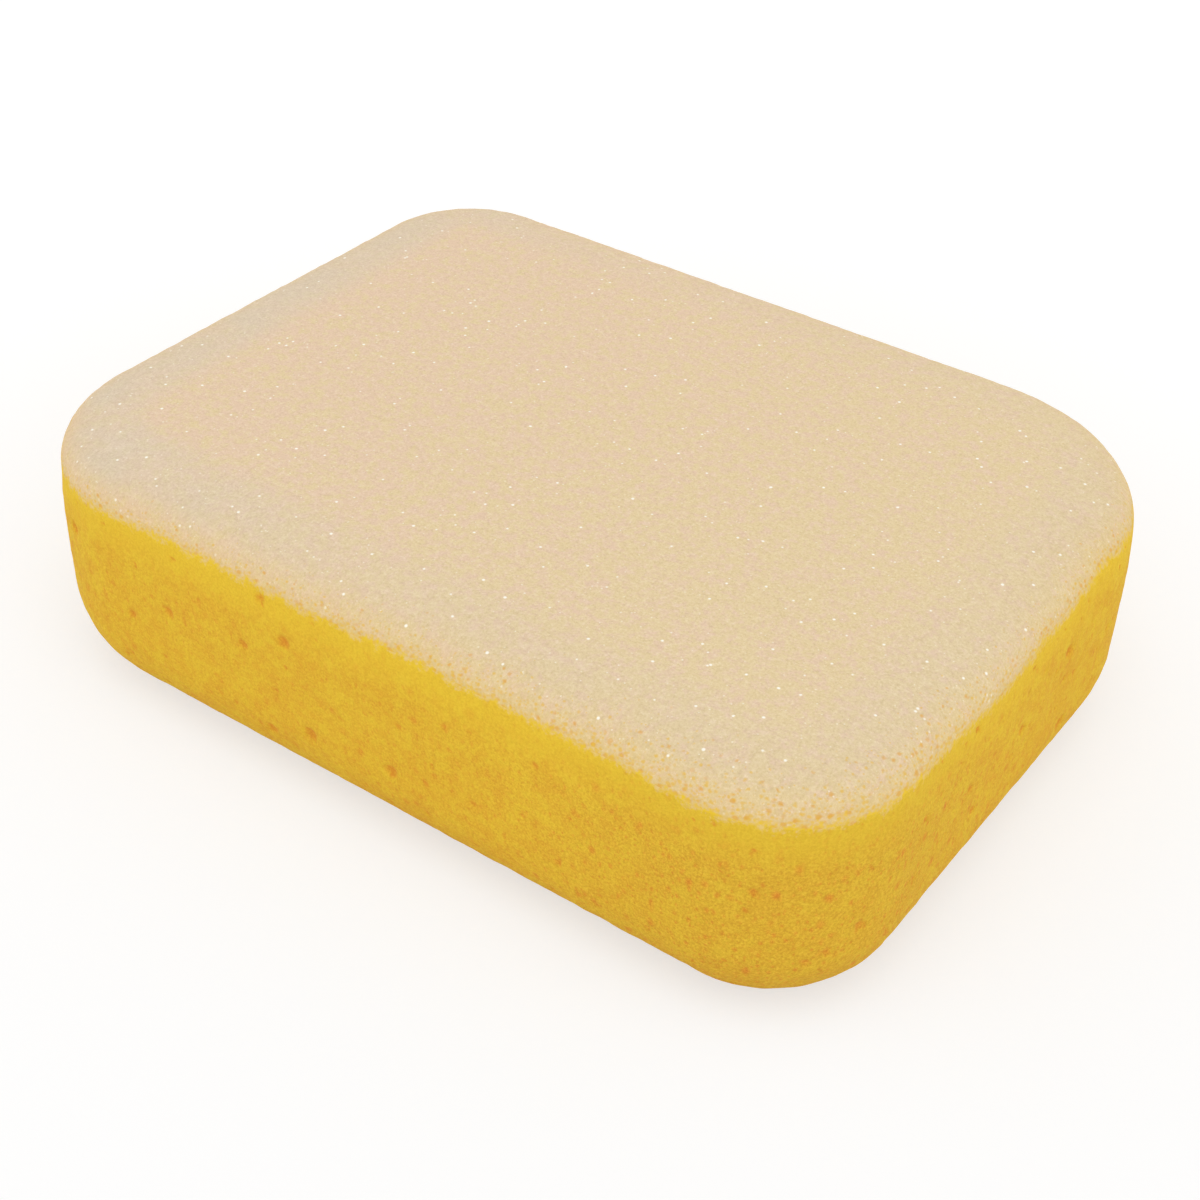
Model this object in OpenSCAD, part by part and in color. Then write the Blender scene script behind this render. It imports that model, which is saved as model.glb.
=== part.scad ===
// Cleaning sponge: a block of open-cell foam with a coarser scrub layer bonded flat on its top.
// The edge is ground to one soft outline that runs through both layers.
// Frame: X along the length, Y across the width, +Z up, origin under the middle of the base.

/* [Block] */
// Length of the block, left to right
block_length = 190; // [160:5:230]
// Width of the block, front to back
block_width = 144; // [120:2:170]
// Height of the block with its scrub layer
block_height = 52; // [48:1:70]
// Thickness of the scrub layer, measured at the middle of the top
scrub_thickness = 5.5; // [3:0.5:10]

/* [Corners] */
// Plan radius of the front right corner
front_right_r = 26; // [24:1:46]
// Plan radius of the back right corner
back_right_r = 42; // [24:1:46]
// Plan radius of the back left corner
back_left_r = 25; // [24:1:46]
// Plan radius of the front left corner
front_left_r = 34; // [24:1:46]

/* [Edge outline] */
// Radius of the side's inward lean below the rim
lean_r = 120; // [80:10:180]
// Angle that the lean turns through
lean_angle = 6; // [3:1:9]
// Radius of the rim between side and top
rim_r = 7; // [5:1:12]
// Angle from the vertical wall at which the rim ends
rim_angle = 75; // [70:1:82]
// Radius of the shoulder that runs from the rim onto the flat top
shoulder_r = 40; // [20:5:60]
// Radius of the belly that draws the side in below
belly_r = 20; // [16:1:28]
// Angle that the belly turns through
belly_angle = 55; // [45:1:65]
// Radius at the foot, between the belly and the flat base
foot_r = 10; // [6:1:14]

/* [Open pores] */
// Spacing of the large pores in the sides
pore_pitch = 13; // [11:1:20]
// Spacing of the large pores in the base
base_pore_pitch = 18; // [14:1:30]
// Radius of the smallest large pore
pore_r_min = 0.7; // [0.5:0.1:1]
// Radius of the largest pore
pore_r_max = 2.2; // [1.4:0.1:2.6]
// How far a pore's centre lies outside the surface, as a share of its radius
pore_lift = 0.3; // [0:0.1:0.6]
// Strip left without large pores beside the bond and the foot
pore_margin = 3.5; // [2:0.5:5]

/* [Hidden] */

bond_z = block_height - scrub_thickness;

// Corners counter-clockwise from the front right, and sides from the right face.
corner_r = [front_right_r, back_right_r, back_left_r, front_left_r];
half_side = [block_length / 2, block_width / 2, block_length / 2, block_width / 2];

// Heights and insets at which the arcs of the edge meet, from the base up.
foot_z = foot_r * (1 - sin(belly_angle));
belly_z = foot_z + belly_r * sin(belly_angle);
shoulder_z = block_height - shoulder_r * (1 - sin(rim_angle));
rim_z = shoulder_z - rim_r * (sin(rim_angle) - sin(lean_angle));
lean_z = rim_z - lean_r * sin(lean_angle);
belly_in = belly_r * (1 - cos(belly_angle));
foot_in = belly_in + foot_r * cos(belly_angle);
lean_in = lean_r * (1 - cos(lean_angle));
rim_in = lean_in + rim_r * (cos(lean_angle) - cos(rim_angle));
shoulder_in = rim_in + shoulder_r * cos(rim_angle);

// The strip along each side that the edge outline is cut in, with some flat top inside it.
edge_land = 2;
edge_depth = max(shoulder_in, foot_in) + edge_land;

// Steps of a sequence that spreads points evenly without rows.
step_along = 0.7549;
step_up = 0.5698;
step_size = 0.3819;
// Above 1, the large pores of the sides lie thicker towards the base.
pore_sink = 1.3;
// Bare patch of the base round its middle, where the block is seated.
seat_r = 8;
// Turn of the edge outline between two of its points.
arc_step = 8;
corner_fn = 180;
// A foam cell is a polyhedron, not a ball.
pore_sides = 6;

function fraction(t) = t - floor(t);

// A pore's radius, with small pores much more common than large ones.
function pore_r(i) = pore_r_min + (pore_r_max - pore_r_min) * pow(fraction(i * step_size), 3);

// How far the edge lies inside the widest outline at a height.
function arc_inset(r, rise) = r - sqrt(r * r - rise * rise);
function inset_at(z) =
    z < foot_z ? belly_in + foot_r * cos(belly_angle) - sqrt(pow(foot_r, 2) - pow(foot_r - z, 2)) :
    z < belly_z ? arc_inset(belly_r, belly_z - z) :
    z < lean_z ? 0 :
    z < rim_z ? arc_inset(lean_r, z - lean_z) :
    lean_in + rim_r * cos(lean_angle)
        - sqrt(pow(rim_r, 2) - pow(z - rim_z + rim_r * sin(lean_angle), 2));

// Axis of a corner, and the plan direction from the middle towards it.
function corner_sign(k) = [k == 0 || k == 1 ? 1 : -1, k == 1 || k == 2 ? 1 : -1];
function corner_axis(k) = [
    corner_sign(k)[0] * (block_length / 2 - corner_r[k]),
    corner_sign(k)[1] * (block_width / 2 - corner_r[k])
];

// Length of the straight run of a side, between the corners at its two ends.
function side_run(k) = 2 * half_side[(k + 1) % 4] - corner_r[k] - corner_r[(k + 1) % 4];

// Points of an arc from one angle to another, the last left out where the next arc starts.
function arc_points(centre, r, from, to) =
    let (steps = ceil(abs(to - from) / arc_step))
    [for (i = [0:steps - 1])
        let (a = from + (to - from) * i / steps)
        centre + r * [cos(a), sin(a)]];

// Edge outline from the base up to the flat top, with x = 0 at the widest part of the side.
lean_centre = [-lean_r, lean_z];
rim_centre = lean_centre + (lean_r - rim_r) * [cos(lean_angle), sin(lean_angle)];
shoulder_centre = rim_centre + (rim_r - shoulder_r) * [cos(rim_angle), sin(rim_angle)];
belly_centre = [-belly_r, belly_z];
foot_centre = belly_centre + (belly_r - foot_r) * [cos(belly_angle), -sin(belly_angle)];
edge_outline = [
    each arc_points(foot_centre, foot_r, -90, -belly_angle),
    each arc_points(belly_centre, belly_r, -belly_angle, 0),
    [0, belly_z],
    each arc_points(lean_centre, lean_r, 0, lean_angle),
    each arc_points(rim_centre, rim_r, lean_angle, rim_angle),
    each arc_points(shoulder_centre, shoulder_r, rim_angle, 90),
    [-shoulder_in, block_height]
];

// Section of the edge between two heights, from its inner line at x = 0 out to x = reach.
module edge_section(reach, low, high) {
    inner = -2 * reach;
    intersection() {
        translate([0, low])
            square([2 * reach, high - low]);
        translate([reach, 0])
            polygon([[inner, 0], each edge_outline, [inner, block_height]]);
    }
}

// Middle of the block inside the edge strips.
module block_core(low, high) {
    translate([0, 0, low])
        linear_extrude(high - low)
            polygon([
                for (k = [0:3])
                    let (c = corner_axis(k), s = corner_sign(k), r = corner_r[k] - edge_depth)
                    each (k % 2 == 0
                        ? [[c[0], c[1] + s[1] * r], c, [c[0] + s[0] * r, c[1]]]
                        : [[c[0] + s[0] * r, c[1]], c, [c[0], c[1] + s[1] * r]])
            ]);
}

// The block between two heights: its core, four straight edges and four turned corners.
module block_layer(low, high) {
    block_core(low, high);
    for (k = [0:3]) {
        run_start = corner_r[k] - half_side[(k + 1) % 4];
        rotate([0, 0, 90 * k])
            translate([half_side[k] - edge_depth, run_start + side_run(k), 0])
                rotate([90, 0, 0])
                    linear_extrude(side_run(k))
                        edge_section(edge_depth, low, high);
        translate(corner_axis(k))
            rotate_extrude(angle = 90, start = 90 * (k - 1), $fn = corner_fn)
                edge_section(corner_r[k], low, high);
    }
}

// One cell of the foam, cut open by the surface and turned its own way.
module pore(i) {
    rotate(360 * [fraction(i * step_along), fraction(i * step_up), fraction(i * step_size)])
        sphere(pore_r(i), $fn = pore_sides);
}

// Large open pores round the sides, below the bond.
module side_pores() {
    low = foot_z + pore_margin;
    band = bond_z - pore_margin - low;
    for (k = [0:3]) {
        run_start = corner_r[k] - half_side[(k + 1) % 4];
        run_count = round(side_run(k) * band / pow(pore_pitch, 2));
        rotate([0, 0, 90 * k])
            for (n = [1:run_count]) {
                i = n + 50 * k;
                z = low + band * pow(fraction(i * step_up), pore_sink);
                translate([
                    half_side[k] - inset_at(z) + pore_lift * pore_r(i),
                    run_start + side_run(k) * fraction(i * step_along),
                    z
                ])
                    pore(i);
            }
        corner_count = round(corner_r[k] * PI / 2 * band / pow(pore_pitch, 2));
        translate(corner_axis(k))
            for (n = [1:corner_count]) {
                i = n + 50 * k + 200;
                z = low + band * pow(fraction(i * step_up), pore_sink);
                rotate([0, 0, 90 * (k - 1 + fraction(i * step_along))])
                    translate([corner_r[k] - inset_at(z) + pore_lift * pore_r(i), 0, z])
                        pore(i);
            }
    }
}

// Large open pores in the flat base, clear of its middle and of the rounded foot.
module base_pores() {
    span = [block_length, block_width] - 2 * (foot_in + pore_margin + pore_r_max) * [1, 1];
    for (i = [1:round(span[0] * span[1] / pow(base_pore_pitch, 2))]) {
        spot = [
            span[0] * (fraction(i * step_along) - 0.5),
            span[1] * (fraction(i * step_up) - 0.5)
        ];
        past = [for (k = [0:3]) norm([
            max(0, corner_sign(k)[0] * (spot - corner_axis(k))[0]),
            max(0, corner_sign(k)[1] * (spot - corner_axis(k))[1])
        ]) - (corner_r[k] - foot_in - pore_r_max)];
        if (norm(spot) > seat_r && max(past) < 0)
            translate([spot[0], spot[1], -pore_lift * pore_r(i)])
                pore(i);
    }
}

// Yellow absorbent foam, from the base up to the bond.
module sponge_body() {
    color("gold")
        difference() {
            block_layer(0, bond_z);
            side_pores();
            base_pores();
        }
}

// Off-white scrub foam, from the bond up to the flat top.
module scrub_layer() {
    color("antiquewhite")
        block_layer(bond_z, block_height);
}

sponge_body();
scrub_layer();
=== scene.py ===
"""A two-sided cleaning sponge: yellow absorbent foam with an off-white scrub layer bonded on top.

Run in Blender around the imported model. Lengths are in metres, unless a name or comment says mm.
"""
import math

import bpy
import numpy as np
from mathutils import Matrix, Vector


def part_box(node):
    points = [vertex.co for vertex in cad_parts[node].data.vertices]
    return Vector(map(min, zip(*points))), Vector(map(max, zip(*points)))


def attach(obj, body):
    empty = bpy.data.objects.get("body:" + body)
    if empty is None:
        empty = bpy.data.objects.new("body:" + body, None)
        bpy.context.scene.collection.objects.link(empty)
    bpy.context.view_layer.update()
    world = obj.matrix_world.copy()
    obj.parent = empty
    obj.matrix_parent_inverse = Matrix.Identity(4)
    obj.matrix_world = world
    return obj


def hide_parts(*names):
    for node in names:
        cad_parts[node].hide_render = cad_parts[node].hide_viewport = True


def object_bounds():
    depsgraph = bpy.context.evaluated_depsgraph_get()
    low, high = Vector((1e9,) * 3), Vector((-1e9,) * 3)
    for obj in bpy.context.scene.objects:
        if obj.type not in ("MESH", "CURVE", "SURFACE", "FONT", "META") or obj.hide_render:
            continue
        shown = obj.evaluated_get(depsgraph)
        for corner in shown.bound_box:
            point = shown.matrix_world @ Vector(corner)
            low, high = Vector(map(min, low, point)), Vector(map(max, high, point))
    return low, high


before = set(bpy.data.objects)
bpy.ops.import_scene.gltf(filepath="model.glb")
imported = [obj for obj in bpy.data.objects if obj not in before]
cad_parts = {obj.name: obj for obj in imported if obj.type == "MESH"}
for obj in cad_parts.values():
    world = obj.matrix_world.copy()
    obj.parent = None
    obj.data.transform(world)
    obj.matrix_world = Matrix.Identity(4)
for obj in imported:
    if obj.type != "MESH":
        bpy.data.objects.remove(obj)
cad_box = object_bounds()
bpy.context.scene.view_settings.view_transform = "Standard"


# Sponge body
# The yellow block of open-cell foam, cut from a bun and ground to a soft edge all round. It runs
# from the flat base up to the bond. Its cells are fine, with larger pores broken open here and
# there, more of them low down.

LENGTH = cad_box[1][0] - cad_box[0][0]
WIDTH = cad_box[1][1] - cad_box[0][1]
HEIGHT = cad_box[1][2]
BOND_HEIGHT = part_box("sponge_body")[1][2]
# Millimetres in a metre.
TO_MM = 1000

# Corners counter-clockwise from the front left: side along X and Y, and plan radius.
CORNERS = ((-1, -1, 0.034), (1, -1, 0.026), (1, 1, 0.042), (-1, 1, 0.025))
# Arcs of the edge in section, from the base up: radius, then the angle of the normal where the
# arc starts and ends, in degrees. The upright stretch between them takes up the height that is
# left, as an arc of so large a radius that it is straight.
FOOT_AND_BELLY = ((0.010, -90, -55), (0.020, -55, 0))
LEAN_RIM_SHOULDER = ((0.120, 0, 6), (0.007, 6, 75), (0.040, 75, 90))
STRAIGHT_R = 1000.0

# Columns of the skin along the front or back and along an end, and its rows down the side.
FRONT_COLUMNS, END_COLUMNS, SIDE_ROWS = 252, 186, 84


def edge_arcs():
    """The edge in section: radius, start angle, start length and start point of each arc.

    An arc of radius R from angle a to b moves out by R (cos b - cos a) and up by R (sin b - sin a).
    """
    arcs = [(r, math.radians(a), math.radians(b)) for r, a, b in FOOT_AND_BELLY + LEAN_RIM_SHOULDER]
    rise = sum(r * (math.sin(b) - math.sin(a)) for r, a, b in arcs)
    arcs.insert(2, (STRAIGHT_R, 0.0, (HEIGHT - rise) / STRAIGHT_R))
    out = -sum(r * (math.cos(b) - math.cos(a)) for r, a, b in arcs[:2])
    rows, up, along = [], 0.0, 0.0
    for r, a, b in arcs:
        rows.append((r, a, along, out, up))
        out += r * (math.cos(b) - math.cos(a))
        up += r * (math.sin(b) - math.sin(a))
        along += r * (b - a)
    return np.array(rows), along


EDGE, EDGE_LENGTH = edge_arcs()


def edge_at(along):
    """How far out and up the edge is at a distance along it, and its normal's two parts.

    The normal's angle is the arc's start angle plus the distance past its start over its radius.
    Out is 0 at the widest outline and negative inside it.
    """
    k = np.clip(np.searchsorted(EDGE[:, 2], along, side="right") - 1, 0, len(EDGE) - 1)
    r, start, begin, out, up = (EDGE[k, c] for c in range(5))
    angle = start + (along - begin) / r
    out = out + r * (np.cos(angle) - np.cos(start))
    up = up + r * (np.sin(angle) - np.sin(start))
    return out, up, np.cos(angle), np.sin(angle)


# Even steps along the edge that a height is read back from.
EDGE_STEPS = 2000


def along_at(height):
    """Distance along the edge at a height, read back from even steps along it."""
    steps = np.linspace(0, EDGE_LENGTH, EDGE_STEPS)
    return np.interp(height, edge_at(steps)[1], steps)


def plan_columns():
    """Where each column stands on the widest outline, its outward direction, and how far round.

    A side runs from the middle of one corner arc to the middle of the next: half an arc, the
    straight, half an arc, with its columns evenly spaced by length.
    """
    spots, outward, round_at, gone = [], [], [], 0.0
    for k, count in enumerate((FRONT_COLUMNS, END_COLUMNS, FRONT_COLUMNS, END_COLUMNS)):
        ax, ay, ra = CORNERS[k]
        bx, by, rb = CORNERS[(k + 1) % 4]
        facing = math.radians(90 * (k - 1))
        normal = np.array([math.cos(facing), math.sin(facing)])
        tangent = np.array([-normal[1], normal[0]])
        first = np.array([ax * (LENGTH / 2 - ra), ay * (WIDTH / 2 - ra)])
        second = np.array([bx * (LENGTH / 2 - rb), by * (WIDTH / 2 - rb)])
        straight = (second - first) @ tangent
        arc_a, arc_b = ra * math.pi / 4, rb * math.pi / 4
        t = np.arange(count) / count * (arc_a + straight + arc_b)
        turn = facing - math.pi / 4 + np.minimum(t, arc_a) / ra
        turn = turn + np.maximum(t - arc_a - straight, 0) / rb
        n = np.stack([np.cos(turn), np.sin(turn)], 1)
        spot = first + ra * normal + tangent * (t - arc_a)[:, None]
        spot = np.where((t < arc_a)[:, None], first + ra * n, spot)
        spot = np.where((t > arc_a + straight)[:, None], second + rb * n, spot)
        spots.append(spot)
        outward.append(n)
        round_at.append(gone + t)
        gone += arc_a + straight + arc_b
    return np.concatenate(spots), np.concatenate(outward), np.concatenate(round_at), gone


SPOT, OUTWARD, ROUND_AT, GIRTH = plan_columns()
COLUMNS = len(SPOT)


# Shape of a table of random values, which repeats past its ends.
TABLE = (32, 32, 32)


def lattice_noise(points, size, seed):
    """Smooth noise from -1 to 1: random values at the corners of cubes of a size, blended.

    The blend weight along each axis is 3 t^2 - 2 t^3, with t the share of the way through the cube.
    """
    table = np.random.default_rng(seed).uniform(-1, 1, TABLE)
    cell = np.floor(points / size).astype(int)
    t = points / size - cell
    w = t * t * (3 - 2 * t)
    total = np.zeros(len(points))
    for step in np.ndindex(2, 2, 2):
        share = np.prod(np.abs(1 - np.array(step) - w), axis=1)
        c = (cell + step) % TABLE
        total += share * table[c[:, 0], c[:, 1], c[:, 2]]
    return total


def layered_noise(points, layers):
    """Layers of lattice noise added up, each given as its height, its size and its seed."""
    return sum(height * lattice_noise(points, size, seed) for height, size, seed in layers)


# The visible line of the bond against the level bond, in mm: how far it lies off all round, and
# its waves, each with its place round the block from the front left corner, its reach and rise.
BOND_OFF = -0.4
BOND_WAVES = (
    (16, 30, -1.25), (90, 12, -0.3), (153, 12, -1.1), (185, 20, -0.3), (229, 24, -1.8),
    (268, 14, 1.1), (335, 20, -0.5), (375, 16, 0.9), (410, 20, -0.7), (450, 20, 0.5),
    (490, 26, 1.2), (560, 18, 0.9),
)
BOND_NOISE = ((0.0006, 0.014, 5), (0.0004, 0.005, 6))


def bond_along():
    """How far up the edge the bond runs at each column: level, with the waves of hand grinding.

    A wave is its rise times exp(-(d / reach)^2), a distance d round the block from its place.
    """
    place, reach, rise = np.array(BOND_WAVES).T / TO_MM
    apart = (ROUND_AT[:, None] - place + GIRTH / 2) % GIRTH - GIRTH / 2
    wave = BOND_OFF / TO_MM + np.exp(-((apart / reach) ** 2)) @ rise
    on_plan = np.concatenate([SPOT, np.zeros((COLUMNS, 1))], 1)
    return along_at(BOND_HEIGHT) + wave + layered_noise(on_plan, BOND_NOISE)


BOND_ALONG = bond_along()


def skin_rows(along):
    """Points and normals of the skin, with a row of columns for each row of lengths up the edge."""
    out, up, level, steep = edge_at(along)
    points = np.concatenate([SPOT + OUTWARD * out[..., None], up[..., None]], -1)
    normals = np.concatenate([OUTWARD * level[..., None], steep[..., None]], -1)
    return points.reshape(-1, 3), normals.reshape(-1, 3)


def flat_patch(rim, across, deep):
    """Fills a closed rim with a grid, as a Coons patch between its four sides.

    A point is the blend of front and back, plus the blend of left and right, less that of the
    four corners. The rim runs counter-clockwise from the front left corner.
    """
    rim = np.concatenate([rim, rim[:1]])
    front, right = rim[: across + 1], rim[across : across + deep + 1]
    back, left = rim[across + deep : 2 * across + deep + 1][::-1], rim[2 * across + deep :][::-1]
    u = np.linspace(0, 1, across + 1)[:, None, None]
    v = np.linspace(0, 1, deep + 1)[None, :, None]
    grid = (1 - v) * front[:, None] + v * back[:, None] + (1 - u) * left[None] + u * right[None]
    grid -= (1 - v) * ((1 - u) * front[0] + u * front[-1]) + v * ((1 - u) * back[0] + u * back[-1])
    return grid


def patch_numbers(across, deep, first_rim, first_inner):
    """Point numbers of a patch: the rim's own round its border, new ones row by row inside."""
    ring = np.concatenate([first_rim + np.arange(2 * (across + deep)), [first_rim]])
    number = np.zeros((across + 1, deep + 1), int)
    number[:, 0] = ring[: across + 1]
    number[across, :] = ring[across : across + deep + 1]
    number[::-1, deep] = ring[across + deep : 2 * across + deep + 1]
    number[0, ::-1] = ring[2 * across + deep :]
    number[1:-1, 1:-1] = first_inner + np.arange((across - 1) * (deep - 1)).reshape(across - 1, -1)
    return number


def grid_faces(number):
    """The quads of a grid of point numbers, each walked down the rows and then along."""
    quads = [number[:-1, :-1], number[1:, :-1], number[1:, 1:], number[:-1, 1:]]
    return np.stack(quads, -1).reshape(-1, 4)


def foam_piece(name, points, quads, triangles, marks):
    """Makes a closed piece from points, quads and triangles, with named values at its points.

    The first ring of points is the bond, where the skin turns sharply into the bonded face.
    """
    mesh = bpy.data.meshes.new(name)
    mesh.vertices.add(len(points))
    mesh.vertices.foreach_set("co", points.astype(np.float32).ravel())
    corners = np.concatenate([quads.ravel(), triangles.ravel()])
    sizes = np.concatenate([np.full(len(quads), 4), np.full(len(triangles), 3)])
    mesh.loops.add(len(corners))
    mesh.loops.foreach_set("vertex_index", corners.astype(np.int32))
    mesh.polygons.add(len(sizes))
    mesh.polygons.foreach_set("loop_start", (np.cumsum(sizes) - sizes).astype(np.int32))
    mesh.polygons.foreach_set("use_smooth", np.ones(len(sizes), bool))
    mesh.update(calc_edges=True)
    ends = np.empty(2 * len(mesh.edges), np.int32)
    mesh.edges.foreach_get("vertices", ends)
    on_ring = (ends.reshape(-1, 2) < COLUMNS).all(1)
    mesh.attributes.new("sharp_edge", "BOOLEAN", "EDGE").data.foreach_set("value", on_ring)
    for mark, values in marks.items():
        layer = mesh.attributes.new(mark, "FLOAT", "POINT")
        layer.data.foreach_set("value", values.astype(np.float32))
    piece = bpy.data.objects.new(name, mesh)
    bpy.context.scene.collection.objects.link(piece)
    return piece


# The large pores by the rule that the solid has them by, in mm: their radii, their spacing in the
# sides and in the base, the strip left bare beside bond and foot, and the base's bare middle.
PORE_SMALLEST, PORE_LARGEST = 0.7, 2.2
SIDE_SPACING, BASE_SPACING = 13, 18
BARE_STRIP, BARE_MIDDLE = 3.5, 8
# Steps of the even-spread fractions that set a pore's place along, its place up and its size.
STEP_ALONG, STEP_UP, STEP_SIZE = 0.7549, 0.5698, 0.3819
# Above 1, pores lie thicker low down. A centre lies outside the skin by a share of its radius.
PORE_SINK, PORE_LIFT = 1.3, 0.3
# Pore numbers go on by these from one side to the next, and from the straights to the corners.
PER_SIDE, TO_CORNERS = 50, 200
# Depth of a dent in the skin, as a share of its pore's radius.
DENT_DEPTH = 0.4


def pore_radius(i):
    """Radius in mm of large pore number i, smallest to largest by the cube of its fraction."""
    return PORE_SMALLEST + (PORE_LARGEST - PORE_SMALLEST) * (i * STEP_SIZE % 1) ** 3


def large_pores():
    """Centres and radii of the large pores, where the solid has them.

    Pore i of a side lies along its straight by the fraction of i times a step, and up its band by
    the fraction of i times another step, to a power. A corner has the same by angle, and the base
    has it by X and Y.
    """
    length, width, bond = LENGTH * TO_MM, WIDTH * TO_MM, BOND_HEIGHT * TO_MM
    corners = [(x, y, r * TO_MM) for x, y, r in CORNERS[1:] + CORNERS[:1]]
    half = [length / 2, width / 2, length / 2, width / 2]
    foot_r, foot_angle = FOOT_AND_BELLY[0][0] * TO_MM, math.radians(-FOOT_AND_BELLY[0][2])
    foot_in = -edge_at(np.array([0.0]))[0][0] * TO_MM
    low = foot_r * (1 - math.sin(foot_angle)) + BARE_STRIP
    band = bond - BARE_STRIP - low
    centres, radii = [], []
    for k, (sx, sy, r) in enumerate(corners):
        half_across = half[(k + 1) % 4]
        run = 2 * half_across - r - corners[(k + 1) % 4][2]
        for turned in (False, True):
            span = r * math.pi / 2 if turned else run
            count = round(span * band / SIDE_SPACING**2)
            i = np.arange(1, count + 1) + PER_SIDE * k + TO_CORNERS * turned
            z = low + band * (i * STEP_UP % 1) ** PORE_SINK
            out = edge_at(along_at(z / TO_MM))[0] * TO_MM + PORE_LIFT * pore_radius(i)
            share = i * STEP_ALONG % 1
            if turned:
                angle = math.pi / 2 * (k - 1 + share)
                x = sx * (length / 2 - r) + (r + out) * np.cos(angle)
                y = sy * (width / 2 - r) + (r + out) * np.sin(angle)
            else:
                c, s = ((1, 0), (0, 1), (-1, 0), (0, -1))[k]
                x = c * (half[k] + out) - s * (r - half_across + run * share)
                y = s * (half[k] + out) + c * (r - half_across + run * share)
            centres.append(np.stack([x, y, z], 1))
            radii.append(pore_radius(i))
    span = np.array([length, width]) - 2 * (foot_in + BARE_STRIP + PORE_LARGEST)
    i = np.arange(1, round(span[0] * span[1] / BASE_SPACING**2) + 1)
    spot = span * (np.stack([i * STEP_ALONG % 1, i * STEP_UP % 1], 1) - 0.5)
    kept = np.hypot(spot[:, 0], spot[:, 1]) > BARE_MIDDLE
    for sx, sy, r in corners:
        past = np.maximum(0, (spot - [sx * (length / 2 - r), sy * (width / 2 - r)]) * [sx, sy])
        kept &= np.hypot(past[:, 0], past[:, 1]) < r - foot_in - PORE_LARGEST
    centres.append(np.concatenate([spot, -PORE_LIFT * pore_radius(i)[:, None]], 1)[kept])
    radii.append(pore_radius(i)[kept])
    return np.concatenate(centres) / TO_MM, np.concatenate(radii) / TO_MM


def pore_dents(points):
    """Depth at each point of the large pores, and how far into one it lies, from 0 to 1.

    A dent has 1 - (d / r)^2 of its depth at a distance d from the centre of a pore of radius r.
    """
    depth, inside = np.zeros(len(points)), np.zeros(len(points))
    for centre, radius in zip(*large_pores()):
        near = np.abs(points - centre).max(1) < radius
        share = 1 - (np.linalg.norm(points[near] - centre, axis=1) / radius) ** 2
        share = np.clip(share, 0, 1)
        depth[near] = np.maximum(depth[near], share * radius * DENT_DEPTH)
        inside[near] = np.maximum(inside[near], share)
    return depth, inside


# Radius that stands for no pore, too small to reach any point.
NO_PORE = 1e-9


def scattered_dents(points, cell, chance, smallest, largest, seed):
    """As the large pores, for small ones: each cube of a lattice holds one, kept by chance.

    Radius runs from smallest to largest by the cube of a random number.
    """
    rng = np.random.default_rng(seed)
    place = rng.random((*TABLE, 3))
    size = smallest + (largest - smallest) * rng.random(TABLE) ** 3
    size[rng.random(TABLE) > chance] = NO_PORE
    home = np.floor(points / cell).astype(int)
    depth, inside = np.zeros(len(points)), np.zeros(len(points))
    for step in np.ndindex(3, 3, 3):
        cube = home + step - np.array([1, 1, 1])
        i, j, k = (cube % TABLE).T
        radius = size[i, j, k]
        share = 1 - (np.linalg.norm(points - (cube + place[i, j, k]) * cell, axis=1) / radius) ** 2
        share = np.clip(share, 0, 1)
        depth = np.maximum(depth, share * radius * DENT_DEPTH)
        inside = np.maximum(inside, share)
    return depth, inside


# Small pores in two sizes: spacing, share of places that have one, smallest and largest radius,
# and seed. They are coloured less strongly than the large ones, by a share.
SMALL_PORES = ((0.0052, 0.5, 0.0006, 0.0014, 1), (0.0026, 0.45, 0.0004, 0.0008, 2))
SMALL_PORE_SHARE = 0.8
BODY_LUMPS = ((0.00010, 0.0042, 3), (0.00006, 0.0017, 4))
# Lumps fade in above the base over the first height, and all relief beside the bond over the
# second.
FOOT_FADE, BOND_FADE = 0.004, 0.0015
# The outer ring of the base lies this far inside the foot.
RING_INSET = 0.0009
# How far below the bond the base and the middle of the bonded face count as lying.
BASE_BELOW, BONDED_BELOW = 0.06, 0.02


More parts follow.
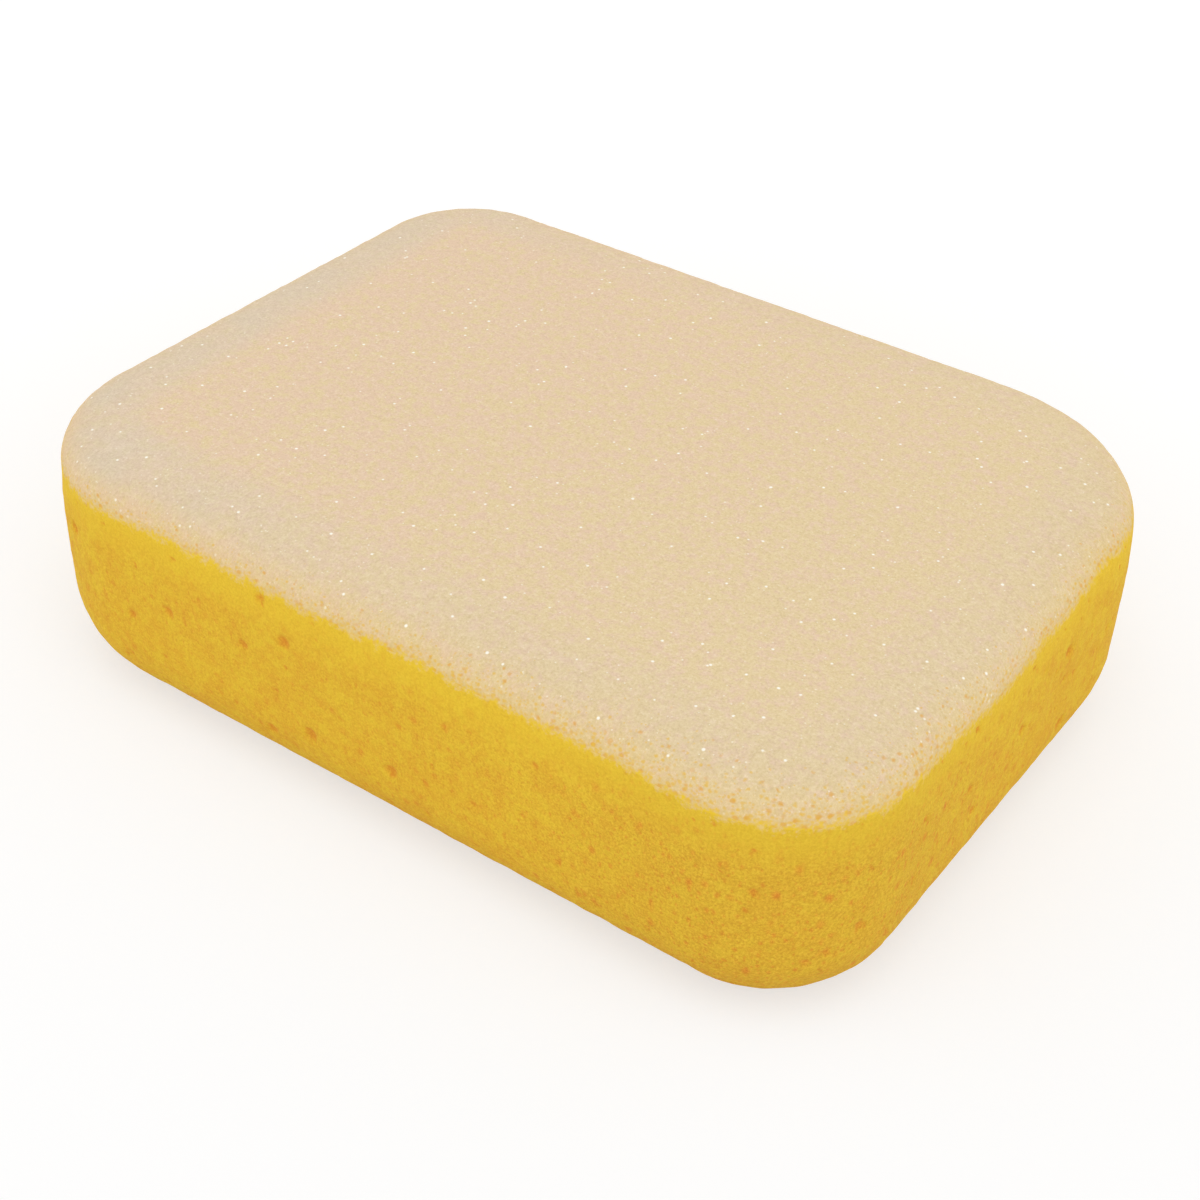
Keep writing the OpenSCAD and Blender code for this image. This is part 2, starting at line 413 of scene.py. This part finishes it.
def sponge_body():
    """The block's skin: the side from the bond down, the base, and the flat bonded face."""
    fall = np.linspace(1, 0, SIDE_ROWS + 1)[:, None]
    side, side_normals = skin_rows(BOND_ALONG * fall)
    above = ((fall - 1) * BOND_ALONG).ravel()
    # The base's grid starts from every second column of the side, on a ring inside the foot.
    across, deep = FRONT_COLUMNS // 2, END_COLUMNS // 2
    foot = side[-COLUMNS:]
    ring = foot[::2] - np.concatenate([OUTWARD[::2] * RING_INSET, np.zeros((COLUMNS // 2, 1))], 1)
    inner = flat_patch(ring, across, deep)[1:-1, 1:-1].reshape(-1, 3)
    base = np.concatenate([ring, inner])
    points = np.concatenate([side, base, [[0, 0, BOND_HEIGHT]]])
    down = np.tile([0.0, 0.0, -1.0], (len(base), 1))
    normals = np.concatenate([side_normals, down, [[0, 0, 1]]])
    above = np.concatenate([above, np.full(len(base), -BASE_BELOW), [-BONDED_BELOW]])

    depth, inside = pore_dents(points)
    for pores in SMALL_PORES:
        small_depth, small_inside = scattered_dents(points, *pores)
        depth = np.maximum(depth, small_depth)
        inside = np.maximum(inside, SMALL_PORE_SHARE * small_inside)
    lumps = layered_noise(points, BODY_LUMPS) * np.clip(points[:, 2] / FOOT_FADE, 0, 1)
    settle = np.clip(-above / BOND_FADE, 0, 1)
    points = points + normals * ((lumps - depth) * settle)[:, None]
    points[-1] = (0, 0, BOND_HEIGHT)

    rows = np.arange((SIDE_ROWS + 1) * COLUMNS).reshape(-1, COLUMNS)
    rows = np.concatenate([rows, rows[:, :1]], 1)
    last = rows[-1]
    number = patch_numbers(across, deep, len(side), len(side) + len(ring))
    quads = np.concatenate([grid_faces(rows), grid_faces(number)[:, ::-1]])
    near = len(side) + np.arange(COLUMNS // 2 + 1) % (COLUMNS // 2)
    lid = np.stack([rows[0, :-1], rows[0, 1:], np.full(COLUMNS, len(points) - 1)], 1)
    triangles = np.concatenate([
        np.stack([last[:-1:2], near[:-1], last[1::2]], 1),
        np.stack([last[1::2], near[:-1], near[1:]], 1),
        np.stack([last[1::2], near[1:], last[2::2]], 1),
        lid,
    ])
    marks = {"above_bond": above * TO_MM, "pore": inside}
    return foam_piece("sponge_body_foam", points, quads, triangles, marks)


def paint(red, green, blue):
    """A colour given as display values from 0 to 255, as linear values by the sRGB formula."""
    shares = [value / 255 for value in (red, green, blue)]
    linear = [c / 12.92 if c < 0.04045 else ((c + 0.055) / 1.055) ** 2.4 for c in shares]
    return (*linear, 1.0)


class Shade:
    """A socket in a material. Python's operators add Math nodes, or Vector Math for vectors."""

    def __init__(self, tree, socket=None):
        self.tree, self.socket = tree, socket

    def node(self, kind, settings, sockets, output=0):
        """Adds a node: its type, its settings, the values or links of its sockets, its output."""
        made = self.tree.nodes.new(kind)
        for name, value in settings.items():
            setattr(made, name, value)
        for name, value in sockets.items():
            if isinstance(value, Shade):
                self.tree.links.new(value.socket, made.inputs[name])
            else:
                made.inputs[name].default_value = value
        return Shade(self.tree, made.outputs[output] if len(made.outputs) else None)

    def sum(self, operation, first, second):
        """One Math node, or one Vector Math node where either side is a vector."""
        sides = (first, second)
        wide = any(
            isinstance(side, tuple) or isinstance(side, Shade) and side.socket.type == "VECTOR"
            for side in sides
        )
        if wide:
            sides = [(s, s, s) if isinstance(s, (int, float)) else s for s in sides]
        kind = "ShaderNodeVectorMath" if wide else "ShaderNodeMath"
        return self.node(kind, {"operation": operation}, {0: sides[0], 1: sides[1]})

    def __add__(self, other):
        return self.sum("ADD", self, other)

    def __sub__(self, other):
        return self.sum("SUBTRACT", self, other)

    def __mul__(self, other):
        return self.sum("MULTIPLY", self, other)

    def __rsub__(self, other):
        return self.sum("SUBTRACT", other, self)

    def __rpow__(self, other):
        return self.sum("POWER", other, self)

    __radd__, __rmul__ = __add__, __mul__

    def ease(self, low, high, at_low=0.0, at_high=1.0):
        """Goes smoothly from one value to another as this one goes from low to high."""
        if low > high:
            low, high, at_low, at_high = high, low, at_high, at_low
        sockets = {0: self, 1: low, 2: high, 3: at_low, 4: at_high}
        return self.node("ShaderNodeMapRange", {"interpolation_type": "SMOOTHSTEP"}, sockets)

    def noise(self, size_mm, detail=1.0, kept=0.5):
        """Smooth noise, about 0.5, with features of a size, at this position in mm."""
        sockets = {"Vector": self, "Scale": 1 / size_mm, "Detail": detail, "Roughness": kept}
        return self.node("ShaderNodeTexNoise", {}, sockets)

    def cells(self, size_mm, output="Distance"):
        """Foam cells of a size: distance to the nearest cell's middle in cells, or its colour."""
        sockets = {"Vector": self, "Scale": 1 / size_mm}
        return self.node("ShaderNodeTexVoronoi", {}, sockets, output)

    def towards(self, x, y):
        """How far this position lies out from the middle in a direction in plan."""
        kind, settings = "ShaderNodeVectorMath", {"operation": "DOT_PRODUCT"}
        return self.node(kind, settings, {0: self, 1: (x, y, 0.0)}, "Value")

    def lot(self, size_mm):
        """A number from 0 to 1 that is drawn for each foam cell of a size."""
        parts = self.cells(size_mm, "Color")
        return parts.node("ShaderNodeSeparateColor", {}, {0: parts})


def mixed(first, second, share):
    """Two colours mixed by a share, which is a socket."""
    return share.node("ShaderNodeMix", {"data_type": "RGBA"}, {0: share, 6: first, 7: second}, 2)


def together(first, *others):
    """Masks laid over one another: 1 less the product of what each leaves clear."""
    clear = 1 - first
    for mask in others:
        clear = clear * (1 - mask)
    return 1 - clear


def foam_material(name):
    """An empty material, with the position on the piece in mm and the height above the bond."""
    material = bpy.data.materials.new(name)
    material.use_nodes = True
    tree = material.node_tree
    tree.nodes.clear()
    start = Shade(tree)
    at = start.node("ShaderNodeTexCoord", {}, {}, "Object") * TO_MM
    above = start.node("ShaderNodeAttribute", {"attribute_name": "above_bond"}, {}, "Fac")
    return material, tree, at, above


# Foam shines less than plain plastic, which has 0.5.
FOAM_SHINE = 0.2


def foam_finish(tree, colour, roughness, relief, depth_mm):
    """Dull foam: colour, roughness, and the relief of its cells as a bump of a depth."""
    start = Shade(tree)
    heights = {"Strength": 1.0, "Distance": depth_mm / TO_MM, "Height": relief}
    bump = start.node("ShaderNodeBump", {}, heights)
    finish = {"Base Color": colour, "Roughness": roughness, "Normal": bump}
    finish["Specular IOR Level"] = FOAM_SHINE
    foam = start.node("ShaderNodeBsdfPrincipled", {}, finish)
    start.node("ShaderNodeOutputMaterial", {}, {"Surface": foam})


def scrub_cover(at, above):
    """How far scrub foam covers the skin, from 0 to 1, with the ragged line of the bond."""
    ragged = at.noise(2.4, 3.0, 0.7) * 5.4 + at.noise(0.8, 2.0, 0.6) * 3.2 - 4.3
    return (above + ragged).ease(-0.9, 1.2)


YELLOW_WARM = paint(222, 170, 48)
YELLOW_COOL = paint(227, 190, 52)
# Painted light: the yellow just below the bond, lighter where the edge turns up to the light.
YELLOW_PAINTED_LIT = paint(231, 194, 52)
YELLOW_LIGHT = paint(250, 216, 78)
YELLOW_DARK = paint(182, 126, 36)
# Painted shade: a deeper yellow round the near corner.
YELLOW_PAINTED_SHADE = paint(202, 170, 52)
PORE_ORANGE = paint(218, 135, 45)
COVER = paint(228, 199, 138)
# Orange specks in three sizes: size in mm, reach in cells, and strength.
SPECKS = ((3.2, 0.38, 0.75), (1.7, 0.42, 0.62), (0.95, 0.46, 0.5))
# Specks are a little taller than they are wide, so heights count for less.
TALLER = (1.0, 1.0, 0.75)


def specks(at, size_mm, reach):
    """Soft spots in the foam cells of a size, each as strong as its own draw, out to a reach."""
    return at.cells(size_mm).ease(0.0, reach, 1.0, 0.0) * at.lot(size_mm).ease(0.15, 0.75)


def absorbent_foam():
    """Yellow foam: warm and cool patches, painted light and shade, orange pores and specks, grain,
    and the ragged bond.
    """
    material, tree, at, above = foam_material("absorbent_foam")
    pore = at.node("ShaderNodeAttribute", {"attribute_name": "pore"}, {}, "Fac")
    near_corner = at.towards(0.7, -0.7)

    # Patches, painted light below the bond, and deeper, warmer painted shade round the near corner.
    broad = at.noise(8.0, 2.0).ease(0.36, 0.64)
    fine = at.noise(2.0, 4.0, 0.75).ease(0.4, 0.6)
    patch = broad * 0.4 + fine * 0.6 - near_corner.ease(75.0, 108.0) * 0.25
    colour = mixed(YELLOW_WARM, YELLOW_COOL, patch)
    colour = mixed(YELLOW_PAINTED_LIT, colour, above.ease(-0.5, -10.0, 0.2, 1.0))
    colour = mixed(colour, YELLOW_PAINTED_SHADE, near_corner.ease(72.0, 105.0) * 0.25)

    # Pores torn open and specks, more of them low down and round the near corner.
    torn = (pore + at.noise(0.8, 2.0) * 0.9 - 0.45).ease(0.05, 0.9) * 0.75
    open_here = above.ease(-1.5, -13.0, 0.35, 1.0) * near_corner.ease(55.0, 105.0, 0.7, 1.35)
    upright = at * TALLER
    spots = [specks(upright, size, reach) * open_here * by for size, reach, by in SPECKS]
    orange = together(torn, *spots)
    colour = mixed(colour, PORE_ORANGE, orange)

    # Grain of the single cells, and scrub foam left on it at the bond.
    grain = at.noise(0.5, 3.0, 0.85)
    coarse = open_here.ease(0.3, 1.4, 0.24, 0.46)
    colour = mixed(colour, YELLOW_LIGHT, grain.ease(0.45, 0.75) * coarse)
    colour = mixed(colour, YELLOW_DARK, grain.ease(0.55, 0.25) * coarse)
    colour = mixed(colour, COVER, scrub_cover(at, above) * 0.85)
    relief = at.cells(0.9) * 0.5 + grain * 0.8 - orange * 0.5
    foam_finish(tree, colour, 0.95, relief, 0.13)
    return material


body = sponge_body()
body.data.materials.append(absorbent_foam())
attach(body, "root")
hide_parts("sponge_body")


# Scrub layer
# The off-white scrub foam, a sheet bonded flat on the yellow block and ground away towards the
# edge with it. It is a net of stiffer cells, with glints off them painted on as small bright dots,
# and where it thins out over the rim the yellow foam shows through its open cells.

RIM_ROWS = 29
# Shallow dents, as SMALL_PORES, and the share of their depth that the stiffer foam keeps.
LAYER_DENTS = (0.0034, 0.5, 0.0005, 0.0011, 11)
LAYER_DEPTH = 0.6
LAYER_LUMPS = ((0.00007, 0.0040, 12), (0.00006, 0.0016, 13))
# How far above the bond the flat top counts as lying at its edge, what each step inwards adds,
# and what the middle of the bonded face counts as.
TOP_ABOVE, STEP_ABOVE, BONDED_ABOVE = 0.017, 0.0006, 0.03


def scrub_layer():
    """The layer's skin: the rim from the bond up, the flat top, and the flat bonded face."""
    climb = np.linspace(0, 1, RIM_ROWS + 1)[:, None]
    along = BOND_ALONG + (EDGE_LENGTH - BOND_ALONG) * climb
    rim, rim_normals = skin_rows(along)
    top = flat_patch(rim[-COLUMNS:], FRONT_COLUMNS, END_COLUMNS)
    i, j = np.indices(top.shape[:2])
    inwards = np.minimum(np.minimum(i, FRONT_COLUMNS - i), np.minimum(j, END_COLUMNS - j))
    inner = top[1:-1, 1:-1].reshape(-1, 3)
    past_rim = inwards[1:-1, 1:-1].ravel() * STEP_ABOVE + TOP_ABOVE
    points = np.concatenate([rim, inner, [[0, 0, BOND_HEIGHT]]])
    normals = np.concatenate([rim_normals, np.tile([0.0, 0.0, 1.0], (len(inner) + 1, 1))])
    above = np.concatenate([(along - BOND_ALONG).ravel(), past_rim, [BONDED_ABOVE]])

    depth = scattered_dents(points, *LAYER_DENTS)[0] * LAYER_DEPTH
    lumps = layered_noise(points, LAYER_LUMPS)
    settle = np.clip(above / BOND_FADE, 0, 1)
    points = points + normals * ((lumps - depth) * settle)[:, None]
    points[-1] = (0, 0, BOND_HEIGHT)

    rows = np.arange((RIM_ROWS + 1) * COLUMNS).reshape(-1, COLUMNS)
    rows = np.concatenate([rows, rows[:, :1]], 1)
    number = patch_numbers(FRONT_COLUMNS, END_COLUMNS, rows[-1, 0], len(rim))
    quads = np.concatenate([grid_faces(rows)[:, ::-1], grid_faces(number)])
    bonded = np.stack([rows[0, 1:], rows[0, :-1], np.full(COLUMNS, len(points) - 1)], 1)
    return foam_piece("scrub_layer_foam", points, quads, bonded, {"above_bond": above * TO_MM})


SCRUB_PINK = paint(228, 199, 171)
SCRUB_CREAM = paint(226, 204, 158)
# Painted shade: a cooler grey along the left rim, which faces away from the light.
SCRUB_PAINTED_SHADE = paint(214, 201, 181)
SCRUB_LIGHT = paint(250, 235, 210)
SCRUB_DARK = paint(186, 160, 124)
# Painted glint: bright dots that stand in for light off the stiff cells.
PAINTED_GLINT = paint(255, 251, 238)
# Thin foam with the yellow showing through, painted a little darker as shade.
THIN_AND_SHADED = paint(218, 182, 90)
SHOW_THROUGH = paint(226, 184, 78)
SHOW_ORANGE = paint(222, 162, 60)
# Open cells are a little wider than they are tall, so heights count for more.
FLATTER = (1.0, 1.0, 1.4)


def painted_glints(at, size_mm, share, largest):
    """Painted glints: a bright round dot in some of the cells of a size, each with its own radius.
    """
    draw = at.lot(size_mm)
    edge = at.cells(size_mm) - draw.ease(1 - share, 1.0, -0.05, largest)
    return edge.ease(0.06, -0.06) * draw.ease(1 - share, 1.0, 0.3, 1.0)


def open_cells(at, size_mm, reach, kept):
    """Open cells of a size: those drawn below a share are open, as wide as the reach says."""
    ragged = at.cells(size_mm) + at.noise(size_mm / 2, 2.0) * 0.5 - 0.25
    return (ragged - reach).ease(0.16, -0.16) * (at.lot(size_mm) - kept).ease(0.1, -0.1)


def scrub_foam():
    """Off-white foam: fine grain, painted glints and shade, and open cells showing yellow at the
    bond.
    """
    material, tree, at, above = foam_material("scrub_foam")

    # Pinkish and creamy patches, creamier to the right, and cooler painted shade along the left
    # rim.
    creamy = at.noise(2.4, 3.0, 0.75) + at.towards(1.0, -0.3).ease(-90.0, 90.0, -0.05, 0.06)
    colour = mixed(SCRUB_PINK, SCRUB_CREAM, creamy.ease(0.36, 0.64))
    rim = above.ease(1.0, 8.0) * above.ease(30.0, 8.0)
    left = at.towards(-0.95, -0.3).ease(20.0, 90.0, 0.2, 0.75)
    rim_painted_shade = rim * left * at.noise(16.0, 2.0).ease(0.3, 0.6, 0.6, 1.0)
    colour = mixed(colour, SCRUB_PAINTED_SHADE, rim_painted_shade)

    # Two sizes of grain, lighter and darker.
    coarse = at.noise(1.3, 2.0, 0.6)
    colour = mixed(colour, SCRUB_LIGHT, coarse.ease(0.5, 0.72) * 0.18)
    colour = mixed(colour, SCRUB_DARK, coarse.ease(0.5, 0.28) * 0.14)
    grain = at.noise(0.5, 3.0, 0.8)
    colour = mixed(colour, SCRUB_LIGHT, grain.ease(0.48, 0.78) * 0.52)
    colour = mixed(colour, SCRUB_DARK, grain.ease(0.52, 0.22) * 0.44)

    # Thin foam above the bond, yellower and painted a little darker as shade, with open cells that
    # reach highest round the near corner.
    colour = mixed(colour, THIN_AND_SHADED, math.e ** (above * -0.22) * 0.5)
    rise = above * at.towards(0.7, -0.7).ease(0.0, 105.0, 2.4, 0.9)
    reach = 0.43 * math.e ** (rise * -0.08)
    kept = 0.95 * math.e ** (rise * -0.22)
    flat = at * FLATTER
    colour = mixed(colour, SHOW_THROUGH, open_cells(flat, 1.05, reach, kept) * 0.72)
    colour = mixed(colour, SHOW_ORANGE, open_cells(flat, 1.35, reach, kept * 0.55) * 0.7)
    colour = mixed(colour, SHOW_THROUGH, open_cells(flat, 0.65, reach, kept) * 0.55)

    # Painted glints in two sizes, and the yellow foam, with its painted light, where the ragged
    # bond lies higher.
    glints = together(painted_glints(at, 2.0, 0.75, 0.15), painted_glints(at, 1.0, 0.6, 0.16) * 0.5)
    colour = mixed(colour, PAINTED_GLINT, glints * above.ease(0.0, 6.0, 0.2, 0.95))
    colour = mixed(YELLOW_PAINTED_LIT, colour, scrub_cover(at, above))
    relief = at.cells(0.7) * 0.4 + grain * 0.7
    foam_finish(tree, colour, 0.9, relief, 0.12)
    return material


layer = scrub_layer()
layer.data.materials.append(scrub_foam())
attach(layer, "root")
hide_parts("scrub_layer")


# Floor, light and camera
# A plain white floor under a white background, soft light from all round, twice as strong from
# the horizon as from overhead, one large lamp, and the camera above the front right corner.

FLOOR_HALF = 3.0
# Grey value of the paper to light that bounces off it and to the camera, and the glow that the
# camera sees on it, with which it reads as white.
PAPER_BOUNCE, PAPER_SEEN, PAPER_GLOW = 0.9, 0.5, 0.56


def white_floor():
    """A square sheet of white paper at the height of the base."""
    mesh = bpy.data.meshes.new("floor")
    signs = ((-1, -1), (1, -1), (1, 1), (-1, 1))
    corners = [(x * FLOOR_HALF, y * FLOOR_HALF, 0.0) for x, y in signs]
    mesh.from_pydata(corners, [], [(0, 1, 2, 3)])
    floor = bpy.data.objects.new("floor", mesh)
    bpy.context.scene.collection.objects.link(floor)
    material = bpy.data.materials.new("white_floor")
    material.use_nodes = True
    tree = material.node_tree
    tree.nodes.clear()
    start = Shade(tree)
    seen = start.node("ShaderNodeLightPath", {}, {}, "Is Camera Ray")
    white = mixed((*[PAPER_BOUNCE] * 3, 1.0), (*[PAPER_SEEN] * 3, 1.0), seen)
    paper = start.node("ShaderNodeBsdfDiffuse", {}, {"Color": white, "Roughness": 1.0})
    shine = {"Color": (1, 1, 1, 1), "Strength": seen * PAPER_GLOW}
    glow = start.node("ShaderNodeEmission", {}, shine)
    lit = start.node("ShaderNodeAddShader", {}, {0: paper, 1: glow})
    start.node("ShaderNodeOutputMaterial", {}, {"Surface": lit})
    floor.data.materials.append(material)
    return floor


white_floor()


# Strength of the light from the horizon, and how much less comes from straight overhead.
HORIZON, LESS_OVERHEAD = 1.37, 0.70
LAMP_PLACE, LAMP_SIZE, LAMP_POWER = (0.20, -0.25, 1.48), 1.1, 3.7


def soft_light():
    """White light from all round, and a large lamp overhead.

    Seen by the camera, in a gloss or through a clear piece, the background is plain white.
    """
    world = bpy.data.worlds.new("studio")
    bpy.context.scene.world = world
    world.use_nodes = True
    tree = world.node_tree
    tree.nodes.clear()
    start = Shade(tree)
    seen = together(*(
        start.node("ShaderNodeLightPath", {}, {}, f"Is {ray} Ray")
        for ray in ("Camera", "Glossy", "Transmission")
    ))
    away = start.node("ShaderNodeTexCoord", {}, {}, "Generated")
    height = away.node("ShaderNodeSeparateXYZ", {}, {0: away}, "Z").ease(0.0, 1.0)
    strength = (1 - seen) * (HORIZON - height * LESS_OVERHEAD) + seen
    back = start.node("ShaderNodeBackground", {}, {"Color": (1, 1, 1, 1), "Strength": strength})
    start.node("ShaderNodeOutputWorld", {}, {"Surface": back})
    lamp = bpy.data.lights.new("softbox", "AREA")
    lamp.shape, lamp.size, lamp.energy = "DISK", LAMP_SIZE, LAMP_POWER
    softbox = bpy.data.objects.new("softbox", lamp)
    turned = Vector(LAMP_PLACE).to_track_quat("Z", "Y").to_matrix().to_4x4()
    softbox.matrix_world = Matrix.Translation(LAMP_PLACE) @ turned
    bpy.context.scene.collection.objects.link(softbox)


soft_light()


# The camera as fitted to the photo: degrees round from the front, above the level and of roll,
# the distance to the middle of the base, how far that lies right of and above the middle of the
# picture, and the focal length and the picture's width in pixels.
TURN, RISE, ROLL = 34.52, 36.80, 1.92
DISTANCE, RIGHT_SHIFT, UP_SHIFT = 0.41307, -0.00098, -0.00921
FOCAL_PX, PICTURE_PX = 1983.44, 1200
SENSOR_MM = 36.0


def camera_over_corner():
    """The camera: a turn round the block, a height above it, a slight roll, and a distance.

    Its place is the distance along the line back from the middle of the base, less a small shift.
    """
    turn, height, roll = (math.radians(a) for a in (TURN, RISE, ROLL))
    level = math.cos(height)
    back = Vector((math.sin(turn) * level, -math.cos(turn) * level, math.sin(height)))
    across = Vector((0, 0, 1)).cross(back).normalized()
    upright = back.cross(across)
    right = across * math.cos(roll) + upright * math.sin(roll)
    up = upright * math.cos(roll) - across * math.sin(roll)
    data = bpy.data.cameras.new("camera")
    data.sensor_width, data.lens = SENSOR_MM, FOCAL_PX / PICTURE_PX * SENSOR_MM
    data.clip_start, data.clip_end = 0.01, 20
    camera = bpy.data.objects.new("camera", data)
    turned = Matrix((right, up, back)).transposed().to_4x4()
    place = back * DISTANCE - right * RIGHT_SHIFT - up * UP_SHIFT
    camera.matrix_world = Matrix.Translation(place) @ turned
    bpy.context.scene.collection.objects.link(camera)
    bpy.context.scene.camera = camera


camera_over_corner()

bpy.context.view_layer.update()
